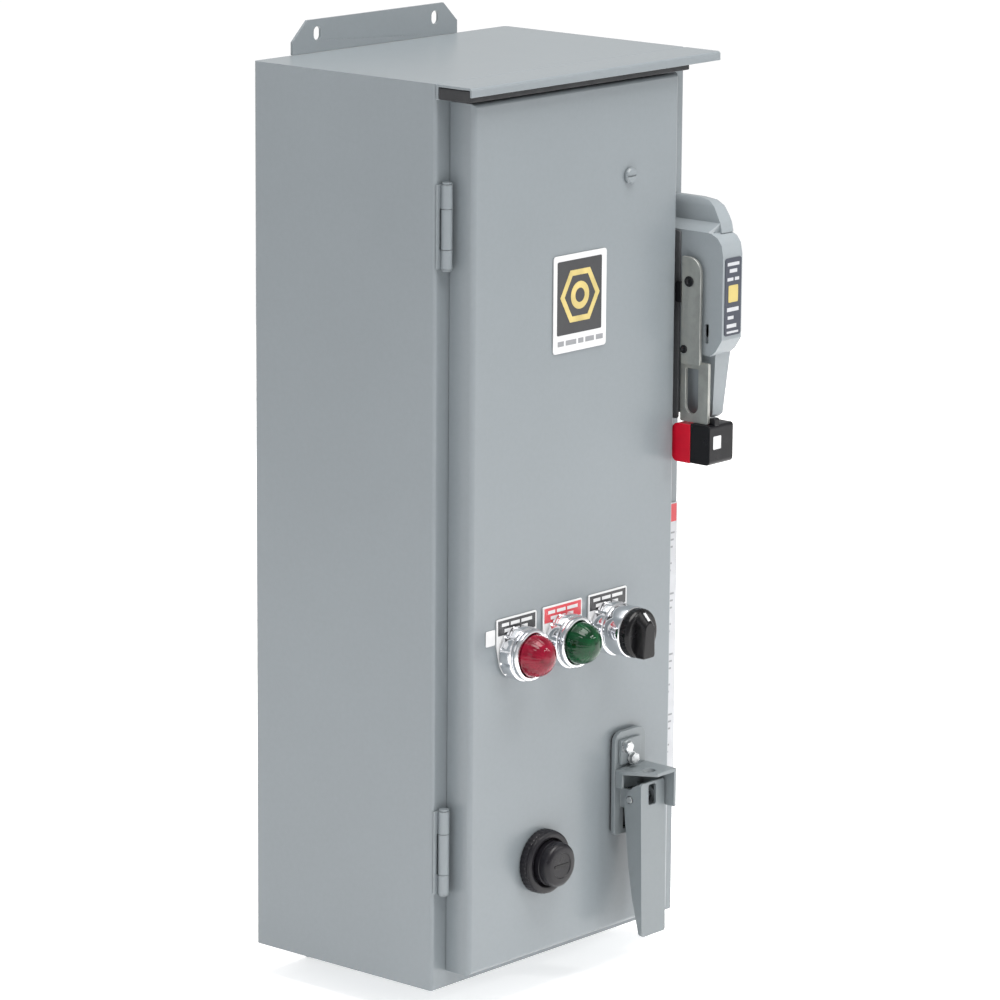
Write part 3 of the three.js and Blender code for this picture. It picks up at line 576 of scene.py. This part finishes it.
def lens(prefix, cx, mat):
    """Fluted domed lens, its ribs inside the skin."""
    def rib(i, t, r, w):
        return r - (0.24 * (0.5 - 0.5 * math.cos(32 * t)) if 7.0 < r < 15.75 and w < -224.0 else 0.0)
    prof = [(0, -219.4), (14.9, -219.4), (15.2, -219.7), (15.2, -222.1), (15.9, -222.4), (15.9, -223.2), (15.8, -223.6)]
    for k in range(1, 15):
        t = k / 15.0
        prof.append((15.8 * math.cos(t * math.pi / 2) ** 0.82, -223.6 - 14.4 * math.sin(t * math.pi / 2)))
    prof += [(1.6, -238.1), (0, -238.2)]
    Build().lathe(prof, cx, UNIT_Z, 128, wobble=rib).done(prefix + "_lens_dome", mat, "door", angle=40, replaces=(prefix + "_lens",))


lens("red_pilot", UNIT_X[0], "lens_red")
lens("green_pilot", UNIT_X[1], "lens_green")

# Selector knob: skirt, tapered wing and an inlaid pointer
cx = UNIT_X[2]
knob = Build().lathe([(0, -231.9), (18.3, -231.9), (18.7, -232.2), (19, -232.9), (19, -236.0), (18.7, -237.2), (17.8, -238.6), (16.8, -239.3), (15.6, -239.5), (0, -239.5)], cx, UNIT_Z, 108,
                     wobble=lambda i, t, r, w: r - (0.35 * (0.5 - 0.5 * math.cos(36 * t)) if r > 18.8 and -236.5 < w < -232.5 else 0.0))
pts = []
for z0, w, y in ((10.5, 7.5, -239.0), (4.2, 5.1, -246.7), (4.4, 5.5, -246.2)):
    pts += [(a, y, b) for a, b in circle(cx, UNIT_Z + z0, w, 24)]
for w, z0, q, y in ((7.5, -18.0, 2.4, -239.0), (6.9, -18.0, 2.0, -245.2), (6.4, -17.6, 1.8, -246.0)):
    pts += [(a, y, b) for a, b in rrect(cx - w, cx + w, UNIT_Z + z0, UNIT_Z - 8, [q, q, 0, 0])]
knob.hull(pts)
knob.lathe([(0, -232.4), (6.8, -232.4), (6.8, -176.4), (6.2, -176), (0, -176)], cx, UNIT_Z, 40)
knob.done("selector_knob_moulding", "gloss_black", "selector", 0.5, 3, angle=30, replaces=("selector_knob",))
slope = [(-240.6, UNIT_Z + 16.0), (-245.6, UNIT_Z + 10.7), (-245.1, UNIT_Z + 10.2), (-240.1, UNIT_Z + 15.5)]
Build().prism("x", [(y - 0.35, z + 0.55) for y, z in slope], cx - 1.2, cx + 1.2).done("selector_pointer_line", "print_white", "selector", 0.1)

# Reset button: ribbed boot ring, cupped button and spring
RX, RZ = -46.0, -254.5
Build().lathe([(18.0, -203.8), (24.2, -203.8), (24.5, -204.1), (24.5, -208.6), (23.8, -209.4), (23.8, -210.2), (24.2, -210.8), (23.6, -212.6), (22.2, -213.4), (20.6, -213.5), (19.2, -213.2), (18.1, -212.2)],
              RX, RZ, 160, loop=True, wobble=lambda i, t, r, w: r - (0.45 * (0.5 - 0.5 * math.cos(40 * t)) if r > 24.0 and w > -209 else 0.0)) \
    .lathe([(8, -205.3), (19, -205.3), (19, -203.8), (14, -203.8), (14, -184), (8, -184)], RX, RZ, 64, loop=True) \
    .done("reset_bezel_moulding", "phenolic", "door", angle=30, replaces=("reset_bezel",))
Build().lathe([(0, -224.7), (9.6, -224.7), (10.0, -225.2), (13.2, -225.1), (14.9, -224.6), (16.2, -223.5), (16.8, -222.0), (17.0, -220.2), (17.0, -217.4), (16.5, -217.0), (16.5, -216.3), (17.0, -215.9), (17.0, -211.6), (16.8, -211.4), (13.4, -211.4), (13.4, -221.8), (0, -221.8)], RX, RZ, 112) \
    .lathe([(0, -222.6), (4, -222.6), (4, -113), (3.6, -112.6), (0, -112.6)], RX, RZ, 32) \
    .done("reset_button_moulding", "phenolic", "reset", angle=30, replaces=("reset_button",))
Build().prism("y", rrect(RX - 8.2, RX + 8.2, RZ - 1.1, RZ + 1.1, 0.9), -225.1, -224.6).done("reset_button_bar", "gloss_black", "reset", 0.15)
coil = [(RX + 10.4 * math.cos(t), -206.6 - 13.9 * t / (8 * math.pi), RZ + 10.4 * math.sin(t)) for t in [8 * math.pi * i / 96 for i in range(97)]]
Build().tube(coil, 0.8, 12, 1).done("reset_return_spring", "spring", None, angle=60, replaces=("reset_spring",))
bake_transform(bpy.data.objects["reset_return_spring"])

# Nameplate: white border, dark field, plain gold ring, lower band with bars
Build().prism("y", rrect(-38, 22.5, 131, 204, 2.5), -204.6, -203.8).done("nameplate_plate", "print_white", "door", 0.15, replaces=("nameplate",))
Build().prism("y", rrect(-34.0, 16.8, 144.4, 199.6, 1.2), -204.75, -204.55).done("nameplate_field", "print_black", "door", 0.04)


def hexagon(r, turn=0.0, cx=-8.2, cz=172.4):
    return [(cx + r * math.cos(math.radians(60 * k) + turn), cz + r * math.sin(math.radians(60 * k) + turn)) for k in range(6)]


Build().prism("y", hexagon(22.5), -204.88, -204.72, [hexagon(17.6)]).prism("y", circle(-8.2, 172.4, 10.4, 48), -204.88, -204.72, [circle(-8.2, 172.4, 5.4, 40)]) \
    .done("nameplate_gold_ring", "print_gold", "door", 0.03)
bars = Build()
x = -33.0
for w in (7, 12, 6, 10, 8):
    bars.box(x, x + w, -204.72, -204.58, 136.2, 140.0)
    x += w + 2.2
bars.done("nameplate_bars", "print_gray", "door")

# Small white patch beside the first unit
Build().prism("y", rrect(-110.8, -100.4, -77.6, -65.8, 1.2), -204.2, -203.8).done("unit_white_patch", "print_white", "door", 0.1)

# Plain strip label down the flange beside the door
Build().prism("y", rrect(109.2, 140, -232, -12, 0.8), -180.9, -180.3).done("flange_strip_label", "print_film", "enclosure", 0.1)
Build().prism("y", rrect(110.2, 139, -27, -13, 0.5), -181.0, -180.85).done("flange_strip_header", "print_red", "enclosure")
bars = Build()
z = -35.0
row = 0
while z > -222:
    for x0, x1 in ((111.5, 123 - (row * 5) % 6), (126 - (row * 3) % 4, 137 - (row * 7) % 6)):
        bars.box(x0, x1, -181.0, -180.85, z - 1.5, z)
    z -= 5.6 if row % 3 != 2 else 13.0
    row += 1
bars.done("flange_strip_bars", "print_gray", "enclosure")

# ------------------------------------------------------------------ operating handle
Build().prism("y", rrect(118, 137.4, 128, 187.5, 2.0), -241.6, -241.2).done("operator_label_plate", "print_navy", "enclosure", 0.08)
marks = Build()
for z0, z1, x0, x1 in ((181.5, 184, 120.5, 134.5), (176.2, 179.0, 123, 132), (170.0, 172.4, 120.5, 127.5), (170.0, 172.4, 129.5, 134.5), (146.5, 149.5, 120.5, 134.5), (140.5, 143, 121.5, 128.5), (134.0, 136.8, 120.5, 132), (129.8, 131.4, 120.5, 134.5)):
    marks.box(x0, x1, -241.72, -241.55, z0, z1)
marks.done("operator_label_marks", "print_film", "enclosure")
Build().prism("y", rrect(122, 133.5, 153.5, 166.5, 1.0), -241.72, -241.55).done("operator_label_block", "print_yellow", "enclosure")

# Grip halves
Build().prism("x", rrect(-236.3, -217.2, 28.5, 59.1, [3.6, 0.6, 0.6, 2.4], 8), 109, 137.5).prism("x", rrect(-236, -230, 58.5, 64.5, [0.5, 0.5, 1.5, 1.5]), 115.2, 121) \
    .done("handle_grip_moulding", "grip_black", "handle", 1.2, 4, angle=35, replaces=("handle_grip",))
Build().prism("x", rrect(-216.9, -199.3, 28, 57.8, [0.6, 5, 5, 0.6], 8), 109, 137.5).done("handle_grip_red", "red", "handle", 1.2, 4, angle=35, replaces=("handle_grip_insert",))
Build().prism("y", rrect(113.2, 122.6, 40.7, 50.8, 0.8), -236.45, -236.1).done("handle_grip_mark", "print_white", "handle")

# Black socket screws and the stop boss on the lever
heads = Build()
for y, z, r in ((-214.0, 168.2, 4.1), (-209.8, 115.7, 3.2)):
    heads.lathe([(0, 108.6), (r * 0.42, 108.6), (r * 0.48, 108.0), (r * 0.9, 108.0), (r, 108.2), (r, 109.1), (0, 109.1)], y, z, 40, "x")
heads.done("lever_screw_heads", "dark_steel", "handle", 0.1)
Build().prism("x", rrect(-206.3, -200.6, 151.0, 167.0, [1.0, 2.0, 2.0, 1.0]), 108.7, 112.4).done("lever_stop_boss", "grip_black", "handle", 0.4)

# Dark sheet between the housing and the door: painted shade standing in for the shadow in that gap; and a dark strip
# inside the hood, painted shade for the shadow under the hood lip
Build().prism("x", rrect(-201.0, -183.0, 60.0, 205.0, [2.0, 0.5, 0.5, 2.0]), 113.2, 115.2).done("operator_gap_shadow_plate", "painted_gap_shade", "enclosure", 0.3)
# Painted shade: a dark strip filling the shadow under the hood lip
Build().prism("x", [(-212.3, 329.0), (-182.5, 329.0), (-182.5, 337.8), (-212.3, 337.8)], -141.4, 107.5).done("hood_shade_strip", "gasket", "enclosure", 0.8)

# ------------------------------------------------------------------ latch hardware
Build().prism("y", rrect(35, 68.5, -250.5, -172.3, [3, 3, 7, 7]), -205.5, -203.8, [rrect(44.5, 55.5, -248, -216.5, 0.8)]).done("latch_gasket", "gasket", "door", 0.3)
bolts = Build()
for x, z, t in ((42.7, -182.4, 0.15), (49.7, -192.4, 0.6)):
    bolts.hexhead(x, z, -212.4, -1, r=4.7, h=3.8, washer=(4.9, 1.0), turn=t)
bolts.done("latch_bolts", "zinc", "door", 0.25)

# ------------------------------------------------------------------ inside the box
terminals = Build()
for x in (3, 33, 63):
    for z in (103, 233):
        terminals.slotted(x, z, -100, -1, 5.4, 5.0, turn=0.4 + x * 0.07, slot=1.2)
terminals.done("breaker_terminal_screws", "zinc", "enclosure", 0.25)
terminals = Build()
for x in (-65, -35, -5):
    for z, t in ((-162, 0.3), (-74, 1.2)):
        terminals.slotted(x, z, -90, -1, 4.6, 4.0, turn=t + x * 0.05, slot=1.1)
terminals.done("contactor_terminal_screws", "zinc", "enclosure", 0.25)
terminals = Build()
for i in range(9):
    terminals.slotted(49, -281.35 + i * 14.2, -30, -1, 4.2, 4.5, turn=0.2 + 0.5 * i, slot=1.0)
terminals.done("terminal_block_screws", "zinc", "enclosure", 0.2)
terminals = Build()
for i in range(5):
    terminals.slotted(-89 + i * 13, 267, -32.1, -1, 3.6, 3.0, turn=0.5 * i, slot=0.9)
terminals.done("ground_bar_screws", "zinc", "enclosure", 0.2)
strip = Build().box(64.5, 66, -40, -18, -289, -161)
strip.done("terminal_marker_strip", "print_white", "enclosure", 0.2)
plate = Build().prism("y", rrect(-4, 70, 122, 134, 1.5), -146.6, -146.1)
plate.done("breaker_rating_plate", "print_white", "enclosure", 0.1)
marks = Build()
for k, w in enumerate((10, 14, 7, 12)):
    marks.box(0 + k * 17, w + k * 17, -146.75, -146.55, 126.5, 129.5)
marks.done("breaker_rating_bars", "print_gray", "enclosure")
onoff = Build()
for z in (192, 144):
    onoff.prism("y", circle(8, z, 1.8, 24), -150.3, -149.9)
onoff.done("breaker_toggle_dots", "print_white", "enclosure")
Build().lathe([(0, -146.2), (4.6, -146.2), (4.6, -148.4), (4.2, -148.9), (0, -148.9)], 62, 206, 48).done("breaker_trip_button", "red", "enclosure", 0.1)
Build().prism("y", rrect(-66, -4, -160, -152, 1.2), -112.6, -112.1).done("contactor_plate", "aluminium", "enclosure", 0.1)
heaters = Build()
for x in (-65, -35, -5):
    heaters.prism("y", rrect(x - 6, x + 6, -226, -207, 1.2), -106.6, -105.2)
    heaters.slotted(x, -210.8, -106.6, -1, 2.8, 2.2, turn=0.3 + x, slot=0.8)
    heaters.slotted(x, -222.2, -106.6, -1, 2.8, 2.2, turn=1.1 + x, slot=0.8)
heaters.done("overload_heaters", "zinc", "enclosure", 0.2)
relay = Build()
for x, z in ((-69, -275), (-1, -275)):
    relay.slotted(x, z, -105.1, -1, 3.4, 2.4, turn=0.1 * abs(x), slot=0.9)
relay.done("overload_relay_screws", "zinc", "enclosure", 0.2)
Build().lathe([(0, -103.4), (7.2, -103.4), (7.2, -107.0), (6.8, -107.5), (0, -107.5)], -10, -235, 64, wobble=lambda i, t, r, w: r - (0.3 * (0.5 - 0.5 * math.cos(28 * t)) if 7 < r and w > -107.2 else 0)) \
    .box(-10.7, -9.3, -108.0, -107.4, -240.5, -229.5).done("overload_dial", "cream", "enclosure", 0.1)
laminations = Build()
for k in range(24):
    y0 = -61.6 + k * 1.3
    laminations.box(-98.25, -97.9, y0, y0 + 0.9, 0.6, 59.4)
    laminations.box(-38.1, -37.75, y0, y0 + 0.9, 0.6, 59.4)
laminations.done("transformer_laminations", "lamination", "enclosure")
screws = Build()
for x, z in ((-100, 284), (100, 284), (-100, -284), (100, -284), (-100, 0), (100, 0)):
    screws.hexhead(x, z, -16.1, -1, r=4.4, h=3.2, washer=(5.6, 0.9))
for x, z in ((-76, -46), (6, -46), (-98 + 6, 56), (-44, 56)):
    screws.slotted(x, z, -16.1 if z < 0 else -62.1, -1, 3.4, 2.4)
screws.done("panel_screws", "zinc", "enclosure", 0.25)
backs = Build()
for cx in UNIT_X:
    for dx in (-13, 13):
        for dz in (-15, 15):
            backs.slotted(cx + dx, UNIT_Z + dz, -149.9, 1, 3.2, 2.4, turn=0.3 * dx + dz)
backs.done("unit_terminal_screws", "zinc", "door", 0.2)

# ------------------------------------------------------------------ floor, light, camera
floor_mesh = bpy.data.meshes.new("floor")
floor_mesh.from_pydata([(2.6 * math.cos(2 * math.pi * k / 96), 2.6 * math.sin(2 * math.pi * k / 96), -0.3652) for k in range(96)], [], [tuple(range(96))])
floor = bpy.data.objects.new("floor", floor_mesh)
bpy.context.scene.collection.objects.link(floor)
fm = Mat("studio_floor")
fm.color(fm.ramp(fm.noise(3.0, 2.0), [(0.3, (246, 246, 246)), (0.7, (249, 249, 249))]))
fm.set(Roughness=0.9, Emission_Color=(1, 1, 1, 1), Emission_Strength=0.58)
floor_mesh.materials.append(fm.m)

world = bpy.data.worlds.new("studio")
bpy.context.scene.world = world
world.use_nodes = True
wt = world.node_tree
bg = wt.nodes["Background"]
bg.inputs[0].default_value = (1.0, 1.0, 1.0, 1)
tc = wt.nodes.new("ShaderNodeTexCoord")
sep = wt.nodes.new("ShaderNodeSeparateXYZ")
mr = wt.nodes.new("ShaderNodeMapRange")
mr.inputs["From Min"].default_value, mr.inputs["From Max"].default_value = -0.06, 0.16
mr.inputs["To Min"].default_value, mr.inputs["To Max"].default_value = 1.03, 0.50
wt.links.new(tc.outputs["Generated"], sep.inputs[0])
wt.links.new(sep.outputs[2], mr.inputs["Value"])
wt.links.new(mr.outputs[0], bg.inputs[1])


def area(name, loc, aim, size, power, color=(1, 1, 1)):
    d = bpy.data.lights.new(name, "AREA")
    d.shape = "RECTANGLE"
    d.size, d.size_y = size
    d.energy = power
    d.color = color
    o = bpy.data.objects.new(name, d)
    o.location = loc
    o.rotation_mode = "QUATERNION"
    o.rotation_quaternion = (Vector(aim) - Vector(loc)).to_track_quat("-Z", "Y")
    bpy.context.scene.collection.objects.link(o)
    return o


area("overhead_softbox", (-0.1, -0.8, 2.6), (0, 0, 0), (2.2, 2.2), 130, (1.0, 0.98, 0.965))
area("front_lamp_upper", (1.5, -3.0, 1.5), (0, -0.15, 0.15), (0.34, 0.34), 20)
area("front_lamp_lower", (2.1, -2.6, 0.75), (0, -0.15, 0), (0.3, 0.3), 6)
area("left_fill", (-3.0, -0.6, 0.9), (0, -0.1, 0), (1.6, 2.2), 11, (0.9, 0.92, 1.0))

az, el, roll, dist, lens_mm = -49.1276, 12.6155, 0.4219, 3.83559, 181.42
target = Vector((11.5746, -110.947, -0.5283)) * MM
a, e, r = math.radians(az), math.radians(el), math.radians(roll)
back = Vector((math.sin(a) * math.cos(e), -math.cos(a) * math.cos(e), math.sin(e)))
right = (-back).cross(Vector((0, 0, 1))).normalized()
up = right.cross(-back)
right2 = right * math.cos(r) + up * math.sin(r)
up2 = -right * math.sin(r) + up * math.cos(r)
cam_data = bpy.data.cameras.new("camera")
cam_data.lens, cam_data.sensor_width = lens_mm, 36.0
cam_data.clip_start, cam_data.clip_end = 0.05, 60.0
cam = bpy.data.objects.new("camera", cam_data)
rot = Matrix((right2, up2, back)).transposed()
cam.matrix_world = Matrix.Translation(target + back * dist) @ rot.to_4x4()
bpy.context.scene.collection.objects.link(cam)
bpy.context.scene.camera = cam
bpy.context.scene.view_settings.view_transform = "Standard"
